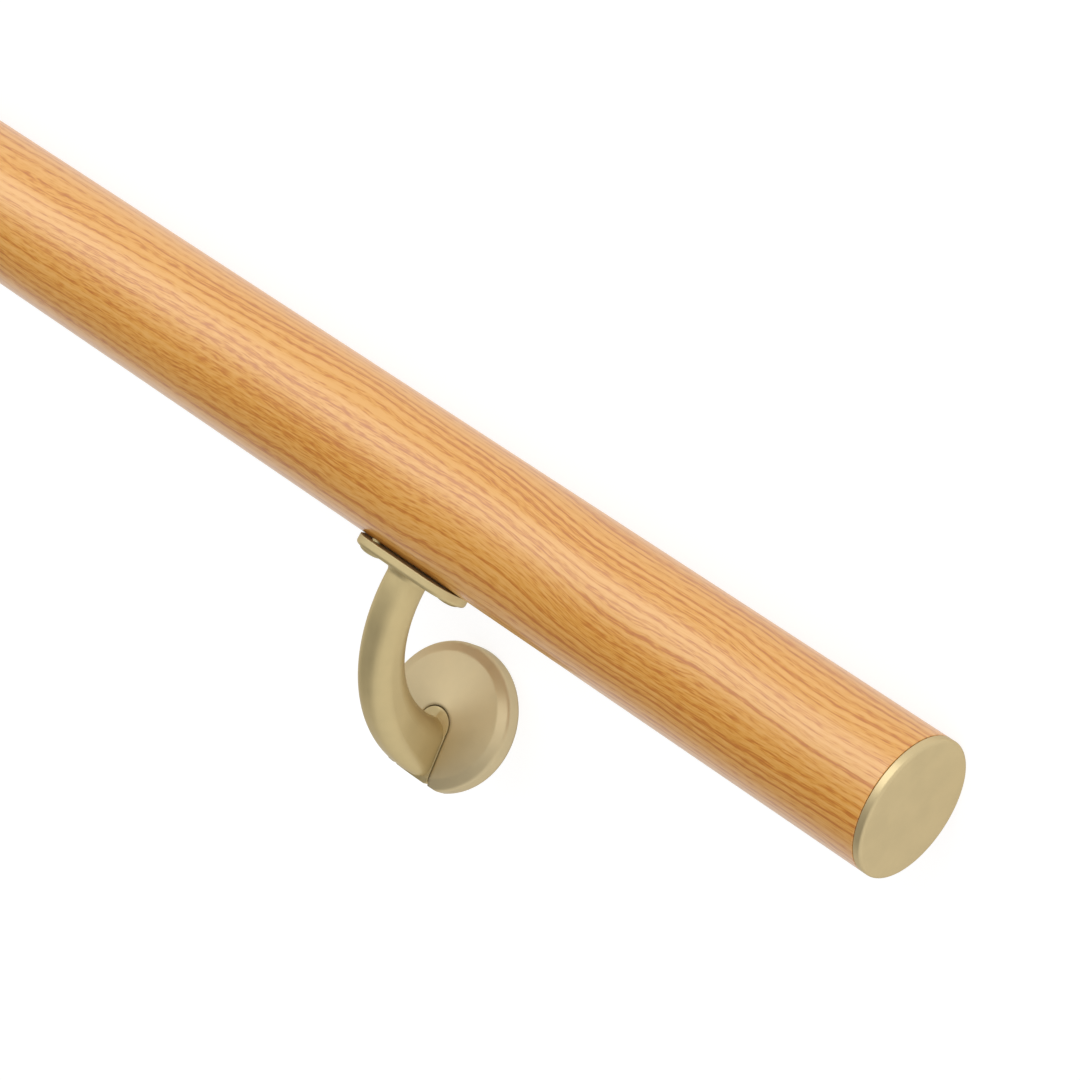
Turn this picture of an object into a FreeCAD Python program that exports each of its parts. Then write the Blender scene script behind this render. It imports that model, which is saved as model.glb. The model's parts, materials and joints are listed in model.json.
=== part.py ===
import FreeCAD, Part
import math
import os
import Sketcher

# Stair handrail length: a round tube with a woodgrain finish, a plug cap in each end, and two
# wall brackets. Each bracket is one casting (wall flange, arm and saddle) with a slotted rose
# cover over its flange and two screws that hold the saddle to the tube.
#
# Every sub-part is drawn as it hangs on a wall: X along the rail, Y towards the wall, Z up, with
# the rail's axis on X. The whole is then laid down as it rests on a level floor, on the back of
# the tube and on the top edges of the two roses.

document = FreeCAD.newDocument("HandrailLength")
sheet = document.addObject("Spreadsheet::Sheet", "Sizes")

# Driving sizes in millimetres; slot_lean in degrees
sizes = {
    "rail_length": 1200,
    "rail_radius": 25,
    "rail_wall": 2,
    "rail_end_bevel": 0.3,
    "cap_thickness": 3.4,
    "cap_radius": 24.95,
    "cap_round": 1.1,
    "cap_spigot_length": 14,
    "cap_spigot_wall": 2,
    "cap_fit": 0.15,
    "bracket_inset": 204.75,
    "wall_distance": 68.5,
    "rose_drop": 71.9,
    "rose_radius": 26.9,
    "rose_edge": 5.6,
    "rose_edge_round": 1.5,
    "rose_depth": 7.4,
    "rose_face_radius": 22.8,
    "rose_crown": 2.8,
    "cover_wall": 1.5,
    "cover_fit": 0.3,
    "flange_thickness": 4,
    "slot_radius": 6.9,
    "slot_offset": 4.2,
    "slot_lean": 4.9,
    "slot_gap": 0.45,
    "flat_drop": 23.9,
    "key_corner": 1.5,
    "wall_hole_diameter": 5.5,
    "wall_hole_circle": 32,
    "saddle_length": 47.5,
    "saddle_width": 21.4,
    "saddle_thickness": 3.5,
    "saddle_round": 1.2,
    "saddle_gap": 0.05,
    "arm_drop": 56,
    "neck_radius": 7,
    "neck_rise": 0.3,
    "neck_corner": 6.2,
    "neck_fillet": 2,
    "root_step": 3.8,
    "root_inset": 0.25,
    "root_corner": 5.5,
    "screw_reach": 16,
    "screw_stagger": 3.2,
    "screw_shank_diameter": 4.2,
    "screw_hole_clearance": 0.3,
    "pilot_clearance": 0.1,
    "screw_head_diameter": 9,
    "screw_head_height": 1.5,
    "screw_length": 13,
    "screw_tip_length": 3,
}
for row, (name, value) in enumerate(sizes.items(), start=1):
    sheet.set(f"A{row}", name.replace("_", " "))
    sheet.set(f"B{row}", str(value))
    sheet.setAlias(f"B{row}", name)
document.recompute()

# Formulas that several sub-parts share
SADDLE_TOP = "(Sizes.rail_radius + Sizes.saddle_gap)"
SADDLE_UNDERSIDE = "(Sizes.rail_radius + Sizes.saddle_gap + Sizes.saddle_thickness)"
ARM_END = f"({SADDLE_UNDERSIDE} + Sizes.arm_drop)"
ARM_REACH = "(Sizes.wall_distance - Sizes.flange_thickness / 2)"
CAVITY_RADIUS = "(Sizes.rose_radius - Sizes.cover_wall)"
FACE_HEIGHT = "(Sizes.rose_depth + Sizes.rose_crown)"
KEY_RADIUS = "(Sizes.slot_radius - Sizes.slot_gap)"
AT_ROSE = {"y": "-Sizes.rose_drop", "z": "-Sizes.wall_distance"}
ARM_STATIONS = 7
WALL_HOLES = 3


def size(name):
    return float(sheet.get(name))


def new_body(label):
    body = document.addObject("PartDesign::Body", label)
    body.Label = label
    return body


def plane_of(body, role):
    return next(plane for plane in body.Origin.OriginFeatures if plane.Role == role)


def new_sketch(body, name, role, offset=None, tilt=None):
    """A sketch on one of the body's own planes; offset binds its place there, tilt its lean about X."""
    sketch = body.newObject("Sketcher::SketchObject", name)
    sketch.AttachmentSupport = [(plane_of(body, role), "")]
    sketch.MapMode = "FlatFace"
    if tilt is not None:
        sketch.AttachmentOffset = FreeCAD.Placement(
            FreeCAD.Vector(), FreeCAD.Rotation(FreeCAD.Vector(1, 0, 0), 30)
        )
        sketch.setExpression("AttachmentOffset.Rotation.Angle", tilt)
    for axis, formula in (offset or {}).items():
        sketch.setExpression(f"AttachmentOffset.Base.{axis}", formula)
    return sketch


def bind(sketch, kind, *where, formula):
    """Adds a driving dimension to a sketch and ties it to the sheet."""
    index = sketch.addConstraint(Sketcher.Constraint(kind, *where, 1.0))
    sketch.setExpression(f"Constraints[{index}]", formula)


def evaluate(sketch, formulas):
    return [float(sketch.evalExpression(formula)) for formula in formulas]


def add_circle(sketch, diameter, across=None, up=None):
    """A circle by its diameter, centred on the origin or at distances from it."""
    x, y = evaluate(sketch, (across or "0", up or "0"))
    circle = sketch.addGeometry(Part.Circle(FreeCAD.Vector(x, y, 0), FreeCAD.Vector(0, 0, 1), 5))
    if across is None and up is None:
        sketch.addConstraint(Sketcher.Constraint("Coincident", circle, 3, -1, 1))
    else:
        bind(sketch, "DistanceX", -1, 1, circle, 3, formula=across)
        bind(sketch, "DistanceY", -1, 1, circle, 3, formula=up)
    bind(sketch, "Diameter", circle, formula=diameter)
    return circle


def add_outline(sketch, points):
    """A closed outline of straight lines; each point is a pair of formulas, measured from the origin."""
    guesses = [evaluate(sketch, point) for point in points]
    lines = []
    for start, end in zip(guesses, guesses[1:] + guesses[:1]):
        line = Part.LineSegment(FreeCAD.Vector(*start, 0), FreeCAD.Vector(*end, 0))
        lines.append(sketch.addGeometry(line))
    for line, following in zip(lines, lines[1:] + lines[:1]):
        sketch.addConstraint(Sketcher.Constraint("Coincident", line, 2, following, 1))
    for line, (across, up) in zip(lines, points):
        bind(sketch, "DistanceX", -1, 1, line, 1, formula=across)
        bind(sketch, "DistanceY", -1, 1, line, 1, formula=up)
    return lines


def join_tangent(sketch, pieces):
    """Ties each piece's end to the start of the next one, all round, without a corner."""
    for piece, following in zip(pieces, pieces[1:] + pieces[:1]):
        sketch.addConstraint(Sketcher.Constraint("Tangent", piece, 2, following, 1))


def add_stadium(sketch, radius, half_straight):
    """Two half circles joined by straight sides along X, centred on the origin."""
    r, half = evaluate(sketch, (radius, half_straight))
    axis = FreeCAD.Vector(0, 0, 1)
    centre = FreeCAD.Vector(half, 0, 0)
    side = FreeCAD.Vector(0, r, 0)
    quarter = math.pi / 2
    right = sketch.addGeometry(
        Part.ArcOfCircle(Part.Circle(centre, axis, r), -quarter, quarter)
    )
    top = sketch.addGeometry(Part.LineSegment(centre + side, side - centre))
    left = sketch.addGeometry(
        Part.ArcOfCircle(Part.Circle(-centre, axis, r), quarter, 3 * quarter)
    )
    bottom = sketch.addGeometry(Part.LineSegment(-centre - side, centre - side))
    join_tangent(sketch, [right, top, left, bottom])
    sketch.addConstraint(Sketcher.Constraint("Horizontal", top))
    sketch.addConstraint(Sketcher.Constraint("Horizontal", bottom))
    bind(sketch, "Radius", right, formula=radius)
    bind(sketch, "DistanceX", -1, 1, right, 3, formula=half_straight)
    bind(sketch, "DistanceX", left, 3, -1, 1, formula=half_straight)
    bind(sketch, "DistanceY", -1, 1, right, 3, formula="0")


def add_keyhole(sketch, radius, rise, corner, depth, half_flat):
    """An outline with a round top, straight sides and a flat bottom with rounded corners.

    The top's centre stands rise over the origin, the bottom lies depth under it, and half_flat is
    half of the bottom's straight part. The sides touch the arcs, so their lean follows from these.
    """
    r, up, c, down, half = evaluate(sketch, (radius, rise, corner, depth, half_flat))
    fall = up + down - c
    lean = math.acos((r - c) / math.hypot(half, fall)) - math.atan2(fall, half)
    axis = FreeCAD.Vector(0, 0, 1)
    head = FreeCAD.Vector(0, up, 0)
    right = FreeCAD.Vector(half, c - down, 0)
    left = FreeCAD.Vector(-half, c - down, 0)
    out_right = FreeCAD.Vector(math.cos(lean), math.sin(lean), 0)
    out_left = FreeCAD.Vector(-math.cos(lean), math.sin(lean), 0)
    fall_line = FreeCAD.Vector(0, -c, 0)
    bottom_turn = 3 * math.pi / 2
    pieces = [
        Part.ArcOfCircle(Part.Circle(head, axis, r), lean, math.pi - lean),
        Part.LineSegment(head + out_left * r, left + out_left * c),
        Part.ArcOfCircle(Part.Circle(left, axis, c), math.pi - lean, bottom_turn),
        Part.LineSegment(left + fall_line, right + fall_line),
        Part.ArcOfCircle(Part.Circle(right, axis, c), bottom_turn, 2 * math.pi + lean),
        Part.LineSegment(right + out_right * c, head + out_right * r),
    ]
    indices = [sketch.addGeometry(piece) for piece in pieces]
    join_tangent(sketch, indices)
    top, _, left_corner, bottom, right_corner, _ = indices
    sketch.addConstraint(Sketcher.Constraint("Horizontal", bottom))
    sketch.addConstraint(Sketcher.Constraint("Equal", left_corner, right_corner))
    bind(sketch, "Radius", top, formula=radius)
    bind(sketch, "Radius", right_corner, formula=corner)
    bind(sketch, "DistanceX", -1, 1, top, 3, formula="0")
    bind(sketch, "DistanceY", -1, 1, top, 3, formula=rise)
    bind(sketch, "DistanceY", bottom, 1, -1, 1, formula=depth)
    bind(sketch, "DistanceX", bottom, 1, -1, 1, formula=half_flat)
    bind(sketch, "DistanceX", -1, 1, bottom, 2, formula=half_flat)


def leaning_half(radius, rise, corner, depth):
    """Half of a keyhole's flat when its sides lean out by slot_lean."""
    fall = f"({rise} + {depth} - {corner})"
    return f"(({radius} - {corner} + {fall} * sin(Sizes.slot_lean)) / cos(Sizes.slot_lean))"


def add_pad(body, sketch, length, name, reverse=False, symmetric=False):
    pad = body.newObject("PartDesign::Pad", name)
    pad.Profile = sketch
    pad.setExpression("Length", length)
    pad.Reversed = reverse
    if symmetric:
        pad.SideType = "Symmetric"
    document.recompute()
    return pad


def add_pocket(body, sketch, length, name, reverse=False):
    """A pocket that must take material away."""
    before = body.Tip.Shape.Volume
    pocket = body.newObject("PartDesign::Pocket", name)
    pocket.Profile = sketch
    pocket.setExpression("Length", length)
    pocket.Reversed = reverse
    document.recompute()
    if pocket.Shape.Volume >= before:
        raise ValueError(f"{name} cuts nothing")
    return pocket


def add_flat(body, drop, depth, name):
    """Cuts off what hangs lower than a drop under the rose's centre, out from the wall's plane."""
    below = new_sketch(body, f"{name}_outline", "XZ_Plane", AT_ROSE)
    add_outline(
        below,
        [
            ("-Sizes.rose_radius", f"-{drop}"),
            ("-Sizes.rose_radius", "-1.1 * Sizes.rose_radius"),
            ("Sizes.rose_radius", "-1.1 * Sizes.rose_radius"),
            ("Sizes.rose_radius", f"-{drop}"),
        ],
    )
    add_pocket(body, below, depth, name, reverse=True)


def add_turned(body, sketch, kind, name):
    """A full turn of a sketch about its first construction line."""
    turned = body.newObject(f"PartDesign::{kind}", name)
    turned.Profile = sketch
    turned.ReferenceAxis = (sketch, ["Axis0"])
    turned.Angle = 360
    document.recompute()
    return turned


def add_axis_line(sketch, along_x):
    """A construction line through the origin, for a turned feature."""
    end = FreeCAD.Vector(10, 0, 0) if along_x else FreeCAD.Vector(0, 10, 0)
    line = sketch.addGeometry(Part.LineSegment(FreeCAD.Vector(), end), True)
    sketch.addConstraint(Sketcher.Constraint("Coincident", line, 1, -1, 1))
    sketch.addConstraint(Sketcher.Constraint("Horizontal" if along_x else "Vertical", line))
    sketch.addConstraint(Sketcher.Constraint("Distance", line, 10.0))


def edges_in_level(feature, axis, level, keep):
    """Names of a feature's edges that lie in one level across an axis and pass the test."""
    names = []
    for number, edge in enumerate(feature.Shape.Edges, start=1):
        box = edge.BoundBox
        low = getattr(box, f"{axis}Min")
        high = getattr(box, f"{axis}Max")
        if abs(low - level) < 0.01 and abs(high - level) < 0.01 and keep(box):
            names.append(f"Edge{number}")
    return names


def add_edge_finish(body, kind, feature, edges, length, name):
    """A fillet or chamfer on edges of a feature, its radius or size tied to the sheet."""
    finish = body.newObject(f"PartDesign::{kind}", name)
    finish.Base = (feature, edges)
    finish.setExpression("Radius" if kind == "Fillet" else "Size", length)
    document.recompute()
    return finish


def rose_sketch(body, name):
    """A sketch for what is turned about the rose's axis: x is minus the height over the wall."""
    at_rose = {"x": "Sizes.wall_distance", "y": "-Sizes.rose_drop"}
    sketch = new_sketch(body, name, "YZ_Plane", at_rose)
    add_axis_line(sketch, along_x=True)
    return sketch


def trim_to_rose(body, name):
    """Turns away what stands outside the rose's outline, which gives the rest its face and bevel."""
    outside = rose_sketch(body, f"{name}_outline")
    add_outline(
        outside,
        [
            ("1", "Sizes.rose_radius"),
            ("-Sizes.rose_edge", "Sizes.rose_radius"),
            ("-Sizes.rose_depth", "Sizes.rose_face_radius"),
            (f"-{FACE_HEIGHT}", "0"),
            (f"-{FACE_HEIGHT} - 2", "0"),
            (f"-{FACE_HEIGHT} - 2", "1.4 * Sizes.rose_radius"),
            ("1", "1.4 * Sizes.rose_radius"),
        ],
    )
    add_turned(body, outside, "Groove", name)


# Rail tube
def make_rail_tube():
    body = new_body("rail_tube")
    ring = new_sketch(body, "TubeSection", "YZ_Plane")
    add_circle(ring, "2 * Sizes.rail_radius")
    add_circle(ring, "2 * (Sizes.rail_radius - Sizes.rail_wall)")
    tube = add_pad(body, ring, "Sizes.rail_length", "Tube", symmetric=True)

    rims = []
    for end in (-1, 1):
        level = end * size("rail_length") / 2
        outer = size("rail_radius") - 0.01
        rims += edges_in_level(tube, "X", level, lambda box: box.ZMax > outer)
    add_edge_finish(body, "Chamfer", tube, rims, "Sizes.rail_end_bevel", "EndBevels")

    pilots = new_sketch(body, "PilotHoles", "XY_Plane")
    inset = "(Sizes.rail_length / 2 - Sizes.bracket_inset)"
    for end in (-1, 1):
        for side in (-1, 1):
            add_circle(
                pilots,
                "Sizes.screw_shank_diameter + 2 * Sizes.pilot_clearance",
                across=f"{end} * {inset} + {side} * Sizes.screw_reach",
                up=f"{side} * Sizes.screw_stagger",
            )
    add_pocket(body, pilots, "Sizes.rail_radius + 1", "Pilots")
    return body


# End caps
def make_end_cap(label):
    """A turned plug: a flange with a rounded rim and a hollow spigot. Its back face is at x = 0."""
    body = new_body(label)
    profile = new_sketch(body, f"{label}_profile", "XY_Plane")
    add_axis_line(profile, along_x=True)
    spigot = "(Sizes.rail_radius - Sizes.rail_wall - Sizes.cap_fit)"
    bore = f"({spigot} - Sizes.cap_spigot_wall)"
    add_outline(
        profile,
        [
            ("Sizes.cap_thickness", "0"),
            ("Sizes.cap_thickness", "Sizes.cap_radius"),
            ("0", "Sizes.cap_radius"),
            ("0", spigot),
            ("-Sizes.cap_spigot_length", spigot),
            ("-Sizes.cap_spigot_length", bore),
            ("0", bore),
            ("0", "0"),
        ],
    )
    turned = add_turned(body, profile, "Revolution", f"{label}_turned")
    rim = edges_in_level(turned, "X", size("cap_thickness"), lambda box: True)
    add_edge_finish(body, "Fillet", turned, rim, "Sizes.cap_round", f"{label}_rim")
    return body


# Wall bracket
def make_bracket(label):
    """One casting: wall flange with a key that fills the rose's slot, the arm, and the saddle."""
    body = new_body(label)
    flange = new_sketch(body, f"{label}_flange_outline", "XZ_Plane", AT_ROSE)
    add_circle(flange, f"2 * ({CAVITY_RADIUS} - Sizes.cover_fit)")
    add_pad(body, flange, "Sizes.flange_thickness", f"{label}_flange")

    clear_of_cover = "(Sizes.flat_drop - Sizes.cover_wall - Sizes.cover_fit)"
    add_flat(body, clear_of_cover, "Sizes.flange_thickness", f"{label}_flat")

    key = new_sketch(body, f"{label}_key_outline", "XZ_Plane", AT_ROSE)
    key_shape = (KEY_RADIUS, "-Sizes.slot_offset", "Sizes.key_corner", "Sizes.flat_drop")
    add_keyhole(key, *key_shape, leaning_half(*key_shape))
    add_pad(body, key, FACE_HEIGHT, f"{label}_key")

    trim_to_rose(body, f"{label}_trim")

    holes = new_sketch(body, f"{label}_wall_hole", "XZ_Plane", AT_ROSE)
    add_circle(holes, "Sizes.wall_hole_diameter", across="0", up="Sizes.wall_hole_circle / 2")
    first_hole = add_pocket(
        body, holes, "Sizes.flange_thickness", f"{label}_first_hole", reverse=True
    )
    pattern = body.newObject("PartDesign::PolarPattern", f"{label}_wall_holes")
    pattern.Originals = [first_hole]
    pattern.Axis = (holes, ["N_Axis"])
    pattern.Angle = 360
    pattern.Occurrences = WALL_HOLES
    body.Tip = pattern
    document.recompute()

    # The arm's centreline is a quarter of an ellipse: down from the saddle, then back to the wall.
    # Its section changes evenly with the way out, from nearly round at the neck to an outline just
    # inside the key's, with the same leaning sides and flat underside but a lower top.
    root_radius = (
        f"({KEY_RADIUS} + Sizes.root_step * sin(Sizes.slot_lean) - Sizes.root_inset)"
    )
    root_rise = f"({ARM_END} - Sizes.rose_drop - Sizes.slot_offset - Sizes.root_step)"
    root_depth = f"(Sizes.rose_drop + Sizes.flat_drop - {ARM_END} - Sizes.root_inset)"
    root = [root_radius, root_rise, "Sizes.root_corner", root_depth]
    root.append(leaning_half(*root))
    neck = [
        "Sizes.neck_radius",
        "Sizes.neck_rise",
        "Sizes.neck_corner",
        "(Sizes.neck_radius + Sizes.neck_rise)",
        "(Sizes.neck_radius - Sizes.neck_corner)",
    ]
    sections = []
    for station in range(ARM_STATIONS):
        turn = 90 * (1 - station / (ARM_STATIONS - 1))
        out = f"(1 - cos({turn}))"
        section = new_sketch(
            body,
            f"{label}_arm_section_{station}",
            "XY_Plane",
            {
                "y": f"{ARM_REACH} * {out}",
                "z": f"-{SADDLE_UNDERSIDE} - Sizes.arm_drop * sin({turn})",
            },
            tilt=f"atan2({ARM_REACH} * sin({turn}); Sizes.arm_drop * cos({turn}))",
        )
        shape = [f"{start} + ({end} - {start}) * {out}" for start, end in zip(neck, root)]
        add_keyhole(section, *shape)
        sections.append(section)
    arm = body.newObject("PartDesign::AdditiveLoft", f"{label}_arm")
    arm.Profile = sections[0]
    arm.Sections = sections[1:]
    document.recompute()

    saddle = new_sketch(body, f"{label}_saddle_outline", "XY_Plane", {"z": f"-{SADDLE_TOP}"})
    half_straight = "(Sizes.saddle_length - Sizes.saddle_width) / 2"
    add_stadium(saddle, "Sizes.saddle_width / 2", half_straight)
    plate = add_pad(body, saddle, "Sizes.saddle_thickness", f"{label}_saddle", reverse=True)

    underside = -size("rail_radius") - size("saddle_gap") - size("saddle_thickness")
    neck_reach = size("neck_radius") + size("neck_rise") + 0.1
    neck_edges = edges_in_level(
        plate,
        "Z",
        underside,
        lambda box: max(box.XMax, -box.XMin, box.YMax, -box.YMin) < neck_reach,
    )
    blend = add_edge_finish(
        body, "Fillet", plate, neck_edges, "Sizes.neck_fillet", f"{label}_neck_fillet"
    )

    rim_reach = size("saddle_width") / 2 - 0.1
    rim_edges = edges_in_level(
        blend, "Z", underside, lambda box: max(box.YMax, -box.YMin) > rim_reach
    )
    add_edge_finish(
        body, "Fillet", blend, rim_edges, "Sizes.saddle_round", f"{label}_saddle_rounding"
    )

    screw_holes = new_sketch(body, f"{label}_screw_holes", "XY_Plane", {"z": f"-{SADDLE_TOP}"})
    for side in (-1, 1):
        add_circle(
            screw_holes,
            "Sizes.screw_shank_diameter + 2 * Sizes.screw_hole_clearance",
            across=f"{side} * Sizes.screw_reach",
            up=f"{side} * Sizes.screw_stagger",
        )
    add_pocket(body, screw_holes, "Sizes.saddle_thickness", f"{label}_saddle_holes")
    return body


# Rose cover
def make_rose_cover(label):
    """A shell over the wall flange, turned, cut flat below, and slotted up from that flat."""
    body = new_body(label)
    profile = rose_sketch(body, f"{label}_profile")
    inner_edge = "(Sizes.rose_edge - Sizes.cover_wall / 2)"
    inner_face = "(Sizes.rose_face_radius - Sizes.cover_wall / 2)"
    add_outline(
        profile,
        [
            ("0", "Sizes.rose_radius"),
            ("-Sizes.rose_edge", "Sizes.rose_radius"),
            ("-Sizes.rose_depth", "Sizes.rose_face_radius"),
            (f"-{FACE_HEIGHT}", "0"),
            (f"Sizes.cover_wall - {FACE_HEIGHT}", "0"),
            ("Sizes.cover_wall - Sizes.rose_depth", inner_face),
            (f"-{inner_edge}", CAVITY_RADIUS),
            ("0", CAVITY_RADIUS),
        ],
    )
    add_turned(body, profile, "Revolution", f"{label}_turned")
    add_flat(body, "Sizes.flat_drop", FACE_HEIGHT, f"{label}_flat")

    # The shell is closed again along the flat by a wall of its own thickness
    wall = new_sketch(body, f"{label}_flat_wall_outline", "XZ_Plane", AT_ROSE)
    add_outline(
        wall,
        [
            ("-Sizes.rose_radius", "Sizes.cover_wall - Sizes.flat_drop"),
            ("-Sizes.rose_radius", "-Sizes.flat_drop"),
            ("Sizes.rose_radius", "-Sizes.flat_drop"),
            ("Sizes.rose_radius", "Sizes.cover_wall - Sizes.flat_drop"),
        ],
    )
    add_pad(body, wall, FACE_HEIGHT, f"{label}_flat_wall")
    trim_to_rose(body, f"{label}_trim")

    slot = new_sketch(
        body,
        f"{label}_slot_outline",
        "XZ_Plane",
        {"y": "-Sizes.rose_drop", "z": f"{FACE_HEIGHT} + 1 - Sizes.wall_distance"},
    )
    slot_shape = (
        "Sizes.slot_radius",
        "-Sizes.slot_offset",
        "Sizes.key_corner",
        "1.2 * Sizes.rose_radius",
    )
    add_keyhole(slot, *slot_shape, leaning_half(*slot_shape))
    slotted = add_pocket(body, slot, f"{FACE_HEIGHT} + 2", f"{label}_slot")

    edge_level = size("wall_distance") - size("rose_edge")
    outer = size("rose_radius") - 0.01
    rim = edges_in_level(slotted, "Y", edge_level, lambda box: box.XMax > outer)
    add_edge_finish(body, "Fillet", slotted, rim, "Sizes.rose_edge_round", f"{label}_rim")
    return body


# Saddle screw
def make_saddle_screw(label):
    """A pan-head screw, point up, with the underside of its head at z = 0."""
    body = new_body(label)
    profile = new_sketch(body, f"{label}_profile", "XZ_Plane")
    add_axis_line(profile, along_x=False)
    shank = "Sizes.screw_shank_diameter / 2"
    head = "Sizes.screw_head_diameter / 2"
    add_outline(
        profile,
        [
            ("0", "-Sizes.screw_head_height"),
            (f"0.7 * {head}", "-Sizes.screw_head_height"),
            (head, "-0.4 * Sizes.screw_head_height"),
            (head, "0"),
            (shank, "0"),
            (shank, "Sizes.screw_length - Sizes.screw_tip_length"),
            ("0", "Sizes.screw_length"),
        ],
    )
    add_turned(body, profile, "Revolution", f"{label}_turned")
    return body


# How the whole lies on the floor: the floor is the plane that touches the tube's back and the
# roses' top edges where they meet the wall. Its normal leans from the wall by this angle.
def floor_angle():
    across = size("wall_distance")
    down = size("rose_drop") - size("rose_radius")
    return math.acos(size("rail_radius") / math.hypot(across, down)) - math.atan2(down, across)


def laid_down():
    """Turns the hanging handrail onto the floor, with the rail along X and the box centred on Y."""
    lean = floor_angle()
    turn = FreeCAD.Rotation(FreeCAD.Vector(0, 0, 1), 180) * FreeCAD.Rotation(
        FreeCAD.Vector(1, 0, 0), -90 - math.degrees(lean)
    )
    far_side = math.sin(lean) * size("wall_distance") + math.cos(lean) * (
        size("rose_drop") + size("flat_drop")
    )
    middle = (far_side - size("rail_radius")) / 2
    return FreeCAD.Placement(FreeCAD.Vector(0, -middle, size("rail_radius")), turn)


def moved(x=0.0, y=0.0, z=0.0, half_turn=False):
    turn = FreeCAD.Rotation(FreeCAD.Vector(0, 0, 1), 180 if half_turn else 0)
    return FreeCAD.Placement(FreeCAD.Vector(x, y, z), turn)


rest = laid_down()
end_x = size("rail_length") / 2
bracket_x = end_x - size("bracket_inset")
seat_z = -size("rail_radius") - size("saddle_gap") - size("saddle_thickness")

parts = {}
parts["rail_tube"] = (make_rail_tube(), moved())
parts["end_cap_lower"] = (make_end_cap("end_cap_lower"), moved(x=end_x))
parts["end_cap_upper"] = (make_end_cap("end_cap_upper"), moved(x=-end_x, half_turn=True))
for where, x in (("lower", bracket_x), ("upper", -bracket_x)):
    parts[f"wall_bracket_{where}"] = (make_bracket(f"wall_bracket_{where}"), moved(x=x))
    parts[f"rose_cover_{where}"] = (make_rose_cover(f"rose_cover_{where}"), moved(x=x))
    for name, side in (("front", -1), ("back", 1)):
        label = f"saddle_screw_{where}_{name}"
        place = moved(x + side * size("screw_reach"), side * size("screw_stagger"), seat_z)
        parts[label] = (make_saddle_screw(label), place)

for body, place in parts.values():
    body.Placement = rest.multiply(place)
document.recompute()

for item in document.Objects:
    if "Invalid" in item.State or "Error" in item.State:
        raise ValueError(f"{item.Label} did not build: {item.State}")

os.makedirs("parts", exist_ok=True)
for label, (body, _) in parts.items():
    shape = body.Shape
    if shape.isNull() or not shape.isValid() or len(shape.Solids) != 1:
        raise ValueError(f"{label} is not one valid solid")
    shape.exportStep(f"parts/{label}.step")
    print(label, round(shape.Volume), "cubic mm")
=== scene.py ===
import json
import math
import bmesh
import bpy
import numpy as np
from mathutils import Matrix, Vector


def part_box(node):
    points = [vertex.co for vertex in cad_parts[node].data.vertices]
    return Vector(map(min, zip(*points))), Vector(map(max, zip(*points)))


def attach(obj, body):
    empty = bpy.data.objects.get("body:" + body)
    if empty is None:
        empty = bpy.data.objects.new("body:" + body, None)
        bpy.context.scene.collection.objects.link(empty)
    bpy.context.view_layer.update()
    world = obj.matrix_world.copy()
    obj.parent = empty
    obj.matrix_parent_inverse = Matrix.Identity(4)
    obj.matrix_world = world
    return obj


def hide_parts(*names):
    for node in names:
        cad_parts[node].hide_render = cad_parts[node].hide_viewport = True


# Looks for a length of stair handrail: a tube in a light oak film, brass caps and two brackets.
# Lengths are in metres unless a note says otherwise.
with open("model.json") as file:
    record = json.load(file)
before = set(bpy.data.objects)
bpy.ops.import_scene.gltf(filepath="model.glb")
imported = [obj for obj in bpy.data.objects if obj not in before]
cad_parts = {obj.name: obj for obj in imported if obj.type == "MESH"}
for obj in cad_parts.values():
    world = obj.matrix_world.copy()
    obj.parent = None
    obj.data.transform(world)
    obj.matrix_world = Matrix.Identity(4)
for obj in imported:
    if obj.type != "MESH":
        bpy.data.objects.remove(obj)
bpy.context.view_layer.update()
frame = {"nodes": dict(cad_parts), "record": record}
scene = bpy.context.scene

# The pieces are drawn as the rail hangs: x along it, y towards the wall, z up, from its middle.
wallAxis = Vector(frame["record"]["mounts"][0]["axis"]).normalized()
alongAxis = Vector((-1, 0, 0))
upAxis = alongAxis.cross(wallAxis)
railLow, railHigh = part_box("rail_tube")
railMiddle = (railLow + railHigh) / 2
railLength = railHigh.x - railLow.x
railRadius = (railHigh.z - railLow.z) / 2
hanging = np.array([alongAxis, wallAxis, upAxis])

# How finely the pieces are built
fineness = {
    "arcSteps": 8,  # in each rounded corner
    "arcGuard": 0.00008,  # from a rounded corner to the point that keeps the flat beside it flat
    "mergeWithin": 0.0000005,
    "sharpAbove": 35,  # degrees between two faces
}


# Row frame from hanging: the sum of x, y and z times their axes, plus the rail's middle
def laidDown(points):
    return points @ hanging + np.array(railMiddle)


# Where a CAD node lies as the rail hangs: its lowest and highest x, y and z
def hangingBox(node):
    vertices = frame["nodes"][node].data.vertices
    points = np.empty(len(vertices) * 3)
    vertices.foreach_get("co", points)
    points = (points.reshape(-1, 3) - np.array(railMiddle)) @ hanging.T
    return points.min(axis=0), points.max(axis=0)


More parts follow.
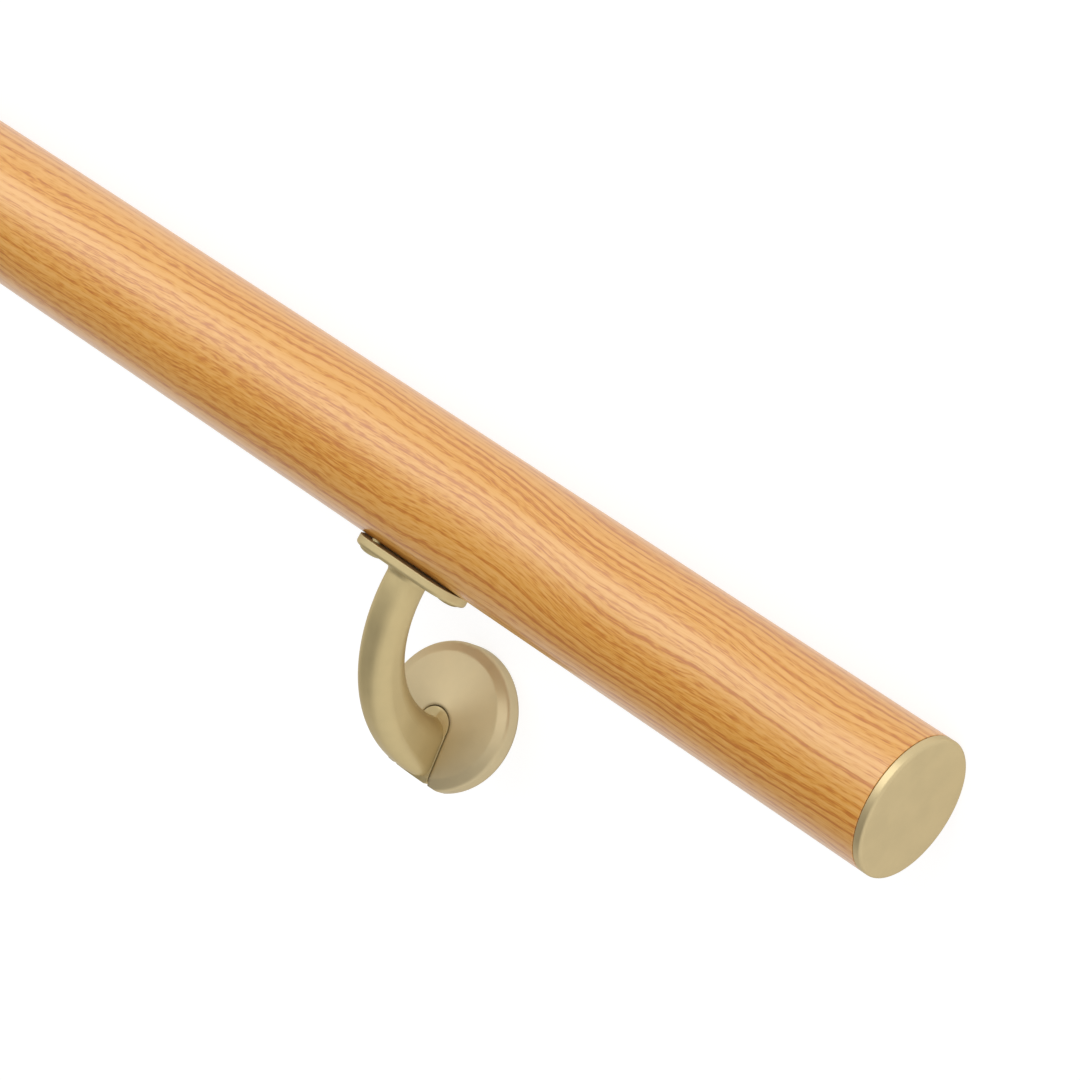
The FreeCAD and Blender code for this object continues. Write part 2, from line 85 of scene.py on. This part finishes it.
# Profile with rounded corners, from corners of (height, radius, rounding): each corner becomes an
# arc that starts rounding * tan(turn / 2) before it, between two guard points
def roundedProfile(corners):
    points = [np.array(corners[0][:2])]
    for before, here, after in zip(corners, corners[1:], corners[2:]):
        corner, rounding = np.array(here[:2]), here[2]
        arriving = corner - np.array(before[:2])
        arriving = arriving / np.linalg.norm(arriving)
        leaving = np.array(after[:2]) - corner
        leaving = leaving / np.linalg.norm(leaving)
        if rounding == 0:
            points.append(corner)
            continue
        turn = math.acos(np.clip(arriving @ leaving, -1, 1))
        start = corner - arriving * rounding * math.tan(turn / 2)
        inward = leaving - arriving * (arriving @ leaving)
        inward = inward / np.linalg.norm(inward)
        angle = np.linspace(0, turn, fineness["arcSteps"] + 1)[:, None]
        arc = start + inward * rounding * (1 - np.cos(angle)) + arriving * rounding * np.sin(angle)
        points.append(start - arriving * fineness["arcGuard"])
        points.extend(arc)
        points.append(arc[-1] + leaving * fineness["arcGuard"])
    points.append(np.array(corners[-1][:2]))
    return np.array(points)


# Faces of a grid whose columns close into rings; rows close too where the profile is a loop
def ringFaces(rows, columns, loop=False):
    row = np.arange(rows if loop else rows - 1)[:, None] * columns
    nextRow = (row + columns) % (rows * columns)
    column = np.arange(columns)[None, :]
    nextColumn = (column + 1) % columns
    corners = [row + column, row + nextColumn, nextRow + nextColumn, nextRow + column]
    return np.stack(corners, axis=-1).reshape(-1, 4)


# A turned surface with its axis upright: a profile of (height, radius) swept round it, at
# (radius * cos(angle), radius * sin(angle), height)
def turnedGrid(profile, columns):
    angle = np.linspace(0, 2 * math.pi, columns, endpoint=False)[None, :]
    radius = profile[:, 1][:, None]
    height = profile[:, 0][:, None] + 0 * angle
    return np.stack([radius * np.cos(angle), radius * np.sin(angle), height], axis=-1)


# The same surface with its axis along the rail, at (height, radius * cos(angle), radius * sin(angle))
def turnedAlong(profile, columns):
    return turnedGrid(profile, columns)[..., [2, 0, 1]]


# A piece from a grid of points: its poles are merged, so that it is closed, and it faces outward
def addPiece(name, points, faces, material, nodes):
    mesh = bpy.data.meshes.new(name)
    mesh.from_pydata(laidDown(points.reshape(-1, 3)).tolist(), [], faces.tolist())
    piece = bpy.data.objects.new(name, mesh)
    scene.collection.objects.link(piece)
    shell = bmesh.new()
    shell.from_mesh(mesh)
    bmesh.ops.remove_doubles(shell, verts=shell.verts, dist=fineness["mergeWithin"])
    bmesh.ops.recalc_face_normals(shell, faces=shell.faces)
    shell.to_mesh(mesh)
    shell.free()
    mesh.shade_smooth()
    mesh.set_sharp_from_angle(angle=math.radians(fineness["sharpAbove"]))
    mesh.materials.append(material)
    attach(piece, "root")
    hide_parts(*nodes)


# A material with its tree and its Principled shader
def newMaterial(name, colour, metallic, roughness):
    material = bpy.data.materials.new(name)
    material.use_nodes = True
    tree = material.node_tree
    shader = tree.nodes["Principled BSDF"]
    shader.inputs["Base Color"].default_value = (*colour, 1)
    shader.inputs["Metallic"].default_value = metallic
    shader.inputs["Roughness"].default_value = roughness
    return material, tree, shader


# A node of a tree: an input is either linked to another node's socket or set to a value
def addNode(tree, kind, inputs=None, **settings):
    node = tree.nodes.new(kind)
    for key, value in settings.items():
        setattr(node, key, value)
    for key, value in (inputs or {}).items():
        if isinstance(value, bpy.types.NodeSocket):
            tree.links.new(value, node.inputs[key])
        else:
            node.inputs[key].default_value = value
    return node


def addMath(tree, operation, first, second=0.0):
    return addNode(tree, "ShaderNodeMath", {0: first, 1: second}, operation=operation).outputs[0]


def addVectorMath(tree, operation, first, second, output="Vector"):
    inputs = {0: first, 1: second}
    return addNode(tree, "ShaderNodeVectorMath", inputs, operation=operation).outputs[output]


# Noise stretched by three scales, in cycles a metre along x, y and z of its vector
def addNoise(tree, vector, scales, detail):
    stretched = addNode(tree, "ShaderNodeMapping", {"Vector": vector, "Scale": scales}).outputs[0]
    inputs = {"Vector": stretched, "Scale": 1.0, "Detail": detail}
    return addNode(tree, "ShaderNodeTexNoise", inputs).outputs["Fac"]


def addRamp(tree, factor, stops):
    ramp = addNode(tree, "ShaderNodeValToRGB", {"Fac": factor})
    elements = ramp.color_ramp.elements
    while len(elements) < len(stops):
        elements.new(0.5)
    for element, (position, colour) in zip(elements, stops):
        element.position = position
        element.color = (*colour, 1)
    return ramp.outputs["Color"]


# Woodgrain film: the colours from dark to pale with the tone at which each is full, the share of
# each layer in the tone, and the scales of each noise in cycles a metre
film = {
    "darkLine": (0.50, 0.160, 0.016),
    "darkLineTone": 0.325,
    "line": (0.59, 0.228, 0.026),
    "lineTone": 0.385,
    "ground": (0.685, 0.316, 0.050),
    "groundTone": 0.43,
    "paleGround": (0.74, 0.378, 0.095),
    "paleGroundTone": 0.52,
    "roughness": 0.29,
    "specularLevel": 1.0,
    "ringSpacing": 0.0033,
    "ringShare": 0.050,
    "lineScales": (1.8, 560, 1),
    "lineDetail": 1.5,
    "lineShare": 0.42,
    "dashScales": (190, 2100, 1),
    "dashShare": 0.35,
    "patchScales": (10, 70, 70),
    "patchShare": 0.11,
    "waveScales": (8, 22, 22),
    "waveHeight": 0.020,
    "rippleScales": (60, 140, 140),
    "rippleHeight": 0.0013,
    "detail": 1.0,  # of every noise but the lines
}


# The film is a printed sheet wrapped round the tube, so its pattern runs on x and on the arc length
# round the rail: radius * the angle from the front, with the sheet's joint on the wall side. Slow
# waves and small ripples shift the arc length. The tone adds up lines, which are noise stretched
# along the rail, rings, which are a sine of the arc length, short dashes and broad patches.
def makeFilm():
    material, tree, shader = newMaterial("woodgrainFilm", film["ground"], 0.0, film["roughness"])
    shader.inputs["Specular IOR Level"].default_value = film["specularLevel"]
    place = addNode(tree, "ShaderNodeTexCoord").outputs["Object"]
    centred = addVectorMath(tree, "SUBTRACT", place, tuple(railMiddle))
    along, up, forward = (
        addVectorMath(tree, "DOT_PRODUCT", centred, tuple(axis), "Value")
        for axis in (alongAxis, upAxis, -wallAxis)
    )
    around = addMath(tree, "MULTIPLY", addMath(tree, "ARCTAN2", up, forward), railRadius)
    for kind in ("wave", "ripple"):
        swing = addNoise(tree, place, film[f"{kind}Scales"], film["detail"])
        swing = addMath(tree, "SUBTRACT", swing, 0.5)  # noise swings about a half
        around = addMath(tree, "ADD", around, addMath(tree, "MULTIPLY", swing, film[f"{kind}Height"]))
    sheet = addNode(tree, "ShaderNodeCombineXYZ", {0: along, 1: around}).outputs[0]
    phase = addMath(tree, "MULTIPLY", around, 2 * math.pi / film["ringSpacing"])
    layers = (
        (addNoise(tree, sheet, film["lineScales"], film["lineDetail"]), film["lineShare"]),
        (addMath(tree, "SINE", phase), film["ringShare"]),
        (addNoise(tree, sheet, film["dashScales"], film["detail"]), film["dashShare"]),
        (addNoise(tree, place, film["patchScales"], film["detail"]), film["patchShare"]),
    )
    tone = 0.0
    for layer, share in layers:
        tone = addMath(tree, "ADD", tone, addMath(tree, "MULTIPLY", layer, share))
    shades = ("darkLine", "line", "ground", "paleGround")
    colour = addRamp(tree, tone, [(film[f"{shade}Tone"], film[shade]) for shade in shades])
    tree.links.new(colour, shader.inputs["Base Color"])
    return material


# Brass: what all pieces share, then each finish with its colour, its roughness and the width of
# its softened edges
brass = {
    "metallic": 0.65,
    "edgeTint": (0.42, 0.34, 0.18),
    "lacquer": 0.2,
    "lacquerRoughness": 0.2,
    "cloudScales": (90, 90, 90),
    "cloudDetail": 3.0,
    "cloudShade": 0.93,  # the darkest of the cloudy tint, as a share of the colour
    "tintSpan": (0.35, 0.65),
    "roughnessSpan": (0.3, 0.7),
    "roughnessSwing": 0.03,
    "grainScales": (2600, 2600, 2600),
    "grainDetail": 1.0,
    "grainStrength": 0.2,
    "grainDepth": 0.00001,
    "edgeSamples": 6,
    "capBrass": ((0.64, 0.51, 0.28), 0.36, 0.0004),
    "bracketBrass": ((0.63, 0.505, 0.26), 0.42, 0.0003),
    "roseBrass": ((0.645, 0.53, 0.315), 0.42, 0.0016),
    "screwBrass": ((0.52, 0.42, 0.21), 0.32, 0.0002),
}


# Satin brass under a thin lacquer: a faint cloudy tint, fine even grain and softened edges.
# Seen at a flat angle it keeps the tint of the metal.
def makeBrass(name):
    colour, roughness, softEdge = brass[name]
    material, tree, shader = newMaterial(name, colour, brass["metallic"], roughness)
    shader.inputs["Specular Tint"].default_value = (*brass["edgeTint"], 1)
    shader.inputs["Coat Weight"].default_value = brass["lacquer"]
    shader.inputs["Coat Roughness"].default_value = brass["lacquerRoughness"]
    place = addNode(tree, "ShaderNodeTexCoord").outputs["Object"]
    cloud = addNoise(tree, place, brass["cloudScales"], brass["cloudDetail"])
    dull = tuple(value * brass["cloudShade"] for value in colour)
    tintFrom, tintTo = brass["tintSpan"]
    tint = addRamp(tree, cloud, [(tintFrom, dull), (tintTo, colour)])
    tree.links.new(tint, shader.inputs["Base Color"])
    swing = {
        "Value": cloud,
        "From Min": brass["roughnessSpan"][0],
        "From Max": brass["roughnessSpan"][1],
        "To Min": roughness - brass["roughnessSwing"],
        "To Max": roughness + brass["roughnessSwing"],
    }
    rough = addNode(tree, "ShaderNodeMapRange", swing).outputs[0]
    tree.links.new(rough, shader.inputs["Roughness"])
    edge = {"Radius": softEdge}
    relief = {
        "Height": addNoise(tree, place, brass["grainScales"], brass["grainDetail"]),
        "Strength": brass["grainStrength"],
        "Distance": brass["grainDepth"],
        "Normal": addNode(tree, "ShaderNodeBevel", edge, samples=brass["edgeSamples"]).outputs[0],
    }
    bump = addNode(tree, "ShaderNodeBump", relief).outputs[0]
    tree.links.new(bump, shader.inputs["Normal"])
    return material


print("materials")
woodgrainFilm = makeFilm()
capBrass = makeBrass("capBrass")
bracketBrass = makeBrass("bracketBrass")
roseBrass = makeBrass("roseBrass")
screwBrass = makeBrass("screwBrass")

# Rail
rail = {
    "wall": 0.002,
    "endRound": 0.0003,
    "closingStep": 0.001,
    "columns": 160,
}


# Tube: the outline of its wall runs out along the skin, back through the bore and home along the
# skin to just before its start, and is swept round the rail's axis
def makeRail():
    half = railLength / 2
    bore = railRadius - rail["wall"]
    outline = [
        (0, railRadius, 0),
        (half, railRadius, rail["endRound"]),
        (half, bore, 0),
        (-half, bore, 0),
        (-half, railRadius, rail["endRound"]),
        (-rail["closingStep"], railRadius, 0),
    ]
    points = turnedAlong(roundedProfile(outline), rail["columns"])
    faces = ringFaces(len(points), rail["columns"], loop=True)
    addPiece("railFilm", points, faces, woodgrainFilm, ["rail_tube"])


print("rail")
makeRail()

# End caps
cap = {
    "rimRound": 0.0011,
    "seamRound": 0.0001,
    "seamWidth": 0.00028,
    "seamDepth": 0.0010,
    "spigotLength": 0.014,
    "spigotRadius": 0.02285,
    "spigotWall": 0.002,
    "columns": 160,
}


# Cap: its profile goes over the face and the rim, into the seam groove, along the spigot and back
# inside it, and is swept round the rail's axis; side is 1 at the lower end and -1 at the upper
def makeCap(node, name, side):
    low, high = hangingBox(node)
    radius = (high[2] - low[2]) / 2
    seamFloor = radius - cap["seamDepth"]
    thickness = max(abs(low[0]), abs(high[0])) - railLength / 2
    bore = cap["spigotRadius"] - cap["spigotWall"]
    outline = [
        (thickness, 0, 0),
        (thickness, radius, cap["rimRound"]),
        (cap["seamWidth"], radius, cap["seamRound"]),
        (cap["seamWidth"], seamFloor, 0),
        (0, seamFloor, 0),
        (0, cap["spigotRadius"], 0),
        (-cap["spigotLength"], cap["spigotRadius"], 0),
        (-cap["spigotLength"], bore, 0),
        (0, bore, 0),
        (0, 0, 0),
    ]
    points = turnedAlong(roundedProfile(outline), cap["columns"])
    points[..., 0] = side * (points[..., 0] + railLength / 2)
    faces = ringFaces(len(points), cap["columns"])
    addPiece(name, points, faces, capBrass, [node])


print("caps")
makeCap("end_cap_lower", "endCapLower", 1)
makeCap("end_cap_upper", "endCapUpper", -1)

# Saddle screws
screw = {
    "headHeight": 0.0015,
    "rimShare": 0.3,  # the straight side of the head, as a share of its height
    "domePower": 3.5,
    "shankRadius": 0.0021,
    "tipLength": 0.003,
    "recessHalfWidth": 0.0005,
    "recessReach": 0.0022,
    "recessDepth": 0.0009,
    "recessWall": 0.0003,
    "domeRows": 40,
    "rowPower": 0.8,
    "columns": 96,
}


# Cross recess: full depth where the nearer of |x| and |y| is under the half width and the
# farther under the reach, falling to nothing over the width of its walls
def recessDepth(x, y):
    nearer = np.minimum(abs(x), abs(y))
    farther = np.maximum(abs(x), abs(y))
    outside = screw["recessHalfWidth"] + screw["recessWall"]
    across = np.clip((outside - nearer) / screw["recessWall"], 0, 1)
    along = np.clip((screw["recessReach"] - farther) / screw["recessWall"], 0, 1)
    return screw["recessDepth"] * np.minimum(across, along)


# Pan head and shank: the head has a straight side of rimShare of its height, and a dome of the
# rest * (1 - (radius / headRadius) ^ domePower), less the recess. The shank is a turned profile
# that ends in a point. The head hangs below its seat and the shank goes up.
def makeScrew(node, name):
    low, high = hangingBox(node)
    middle = (low + high) / 2
    headRadius = (high[0] - low[0]) / 2
    seat = low[2] + screw["headHeight"]
    tip = high[2] - seat
    radii = headRadius * np.linspace(0, 1, screw["domeRows"]) ** screw["rowPower"]
    rise = (1 - screw["rimShare"]) * (1 - (radii / headRadius) ** screw["domePower"])
    dome = np.stack([-screw["headHeight"] * (screw["rimShare"] + rise), radii], axis=-1)
    shank = roundedProfile(
        [
            (0, headRadius, 0),
            (0, screw["shankRadius"], 0),
            (tip - screw["tipLength"], screw["shankRadius"], 0),
            (tip, 0, 0),
        ]
    )
    points = turnedGrid(np.concatenate([dome, shank]), screw["columns"])
    head = points[: screw["domeRows"]]
    head[..., 2] += recessDepth(head[..., 0], head[..., 1])
    points = points + np.array([middle[0], middle[1], seat])
    faces = ringFaces(len(points), screw["columns"])
    addPiece(name, points, faces, screwBrass, [node])


print("screws")
for where in ("lower", "upper"):
    for side in ("front", "back"):
        makeScrew(f"saddle_screw_{where}_{side}", f"saddleScrew{where.title()}{side.title()}")


# Brackets and roses keep their CAD shape and get their finish
def finishNode(node, material):
    mesh = frame["nodes"][node].data
    mesh.materials.clear()
    mesh.materials.append(material)


print("brackets and roses")
for where in ("lower", "upper"):
    finishNode(f"wall_bracket_{where}", bracketBrass)
    finishNode(f"rose_cover_{where}", roseBrass)

# Floor, world and lamp
studio = {
    "floorHalf": 12,
    "floorColour": (0.88, 0.88, 0.88),
    "shownFloor": (0.28, 0.28, 0.28),  # what camera and mirror rays see of the lit floor
    "shownGlow": 0.84,  # what they see added to it, so that it comes out white
    "horizon": (1.0, 1.0, 1.0),
    "overhead": (0.44, 0.44, 0.44),
    "horizonUpTo": 0.70,  # sine of the elevation
    "overheadFrom": 0.96,
    "darkSide": (0.55, 0.35, 0.76),
    "darkSideLevel": (0.30, 0.30, 0.30),
    "darkSideEdge": 0.68,  # cosine of the angle from the dark side
    "darkSideCore": 0.92,
    "keySize": (4.0, 1.5),
    "keyPower": 24.5,
    "keyColour": (0.95, 0.98, 1.0),
    "keyFrom": (0.90, -1.75, 0.78),
    "keyTo": (0.90, 0.0, 0.03),
}


# 1 for rays from the camera and for mirror rays, so that metal shows the white surround too
def seenDirectly(tree):
    path = addNode(tree, "ShaderNodeLightPath")
    either = addMath(tree, "MAXIMUM", path.outputs["Is Camera Ray"], path.outputs["Is Glossy Ray"])
    return addMath(tree, "MAXIMUM", either, path.outputs["Is Transmission Ray"])


def makeFloor():
    half = studio["floorHalf"]
    mesh = bpy.data.meshes.new("floor")
    corners = [(-half, -half, 0), (half, -half, 0), (half, half, 0), (-half, half, 0)]
    mesh.from_pydata(corners, [], [(0, 1, 2, 3)])
    floor = bpy.data.objects.new("floor", mesh)
    scene.collection.objects.link(floor)
    material = bpy.data.materials.new("floorPaint")
    material.use_nodes = True
    tree = material.node_tree
    tree.nodes.clear()
    lit = addNode(tree, "ShaderNodeBsdfDiffuse", {"Color": (*studio["floorColour"], 1)})
    shown = addNode(tree, "ShaderNodeBsdfDiffuse", {"Color": (*studio["shownFloor"], 1)})
    glow = addNode(tree, "ShaderNodeEmission", {"Strength": studio["shownGlow"]})
    seen = addNode(tree, "ShaderNodeAddShader", {0: shown.outputs[0], 1: glow.outputs[0]})
    sides = {0: seenDirectly(tree), 1: lit.outputs[0], 2: seen.outputs[0]}
    choice = addNode(tree, "ShaderNodeMixShader", sides)
    addNode(tree, "ShaderNodeOutputMaterial", {"Surface": choice.outputs[0]})
    mesh.materials.append(material)


# A studio that is white all round, dimmer overhead and dark beyond the far end of the rail
def makeWorld():
    world = bpy.data.worlds.new("studioWorld")
    scene.world = world
    world.use_nodes = True
    tree = world.node_tree
    tree.nodes.clear()
    direction = addNode(tree, "ShaderNodeTexCoord").outputs["Generated"]
    height = addNode(tree, "ShaderNodeSeparateXYZ", {0: direction}).outputs["Z"]
    skyStops = [
        (studio["horizonUpTo"], studio["horizon"]),
        (studio["overheadFrom"], studio["overhead"]),
    ]
    towards = addVectorMath(tree, "DOT_PRODUCT", direction, studio["darkSide"], "Value")
    sideStops = [
        (studio["darkSideEdge"], (1, 1, 1)),
        (studio["darkSideCore"], studio["darkSideLevel"]),
    ]
    sky = addRamp(tree, height, skyStops)
    side = addRamp(tree, towards, sideStops)
    dimmed = addVectorMath(tree, "MULTIPLY", sky, side)
    surround = addNode(tree, "ShaderNodeBackground", {"Color": dimmed, "Strength": 1.0})
    addNode(tree, "ShaderNodeOutputWorld", {"Surface": surround.outputs[0]})


def makeKeyLamp():
    lamp = bpy.data.lights.new("keyLamp", "AREA")
    lamp.shape = "RECTANGLE"
    lamp.size, lamp.size_y = studio["keySize"]
    lamp.energy = studio["keyPower"]
    lamp.color = studio["keyColour"]
    key = bpy.data.objects.new("keyLamp", lamp)
    scene.collection.objects.link(key)
    spot = Vector(studio["keyFrom"])
    key.location = spot
    key.rotation_euler = (spot - Vector(studio["keyTo"])).to_track_quat("Z", "Y").to_euler()


print("studio")
makeFloor()
makeWorld()
makeKeyLamp()
scene.view_settings.view_transform = "Standard"

# Camera, as the photograph sees the hanging rail: from and aim are hanging places, the tilt is in
# degrees, and the lens and the sensor are in millimetres
shot = {
    "from": (1.19908, -1.18861, 0.14637),
    "aim": (0.43406, -0.00058, 0.00589),
    "tilt": 29.88,
    "lens": 142.63,
    "sensor": 36,
    "nearest": 0.05,
}


def makeCamera():
    data = bpy.data.cameras.new("camera")
    data.sensor_width = shot["sensor"]
    data.lens = shot["lens"]
    data.clip_start = shot["nearest"]
    camera = bpy.data.objects.new("camera", data)
    scene.collection.objects.link(camera)
    spot, aim = (Vector(laidDown(np.array(shot[key]))) for key in ("from", "aim"))
    back = (spot - aim).normalized()
    level = upAxis.cross(back).normalized()
    upright = back.cross(level)
    turn = Matrix.Rotation(math.radians(shot["tilt"]), 3, back)
    basis = Matrix((turn @ level, turn @ upright, back)).transposed()
    camera.matrix_world = Matrix.Translation(spot) @ basis.to_4x4()
    scene.camera = camera


print("camera")
makeCamera()
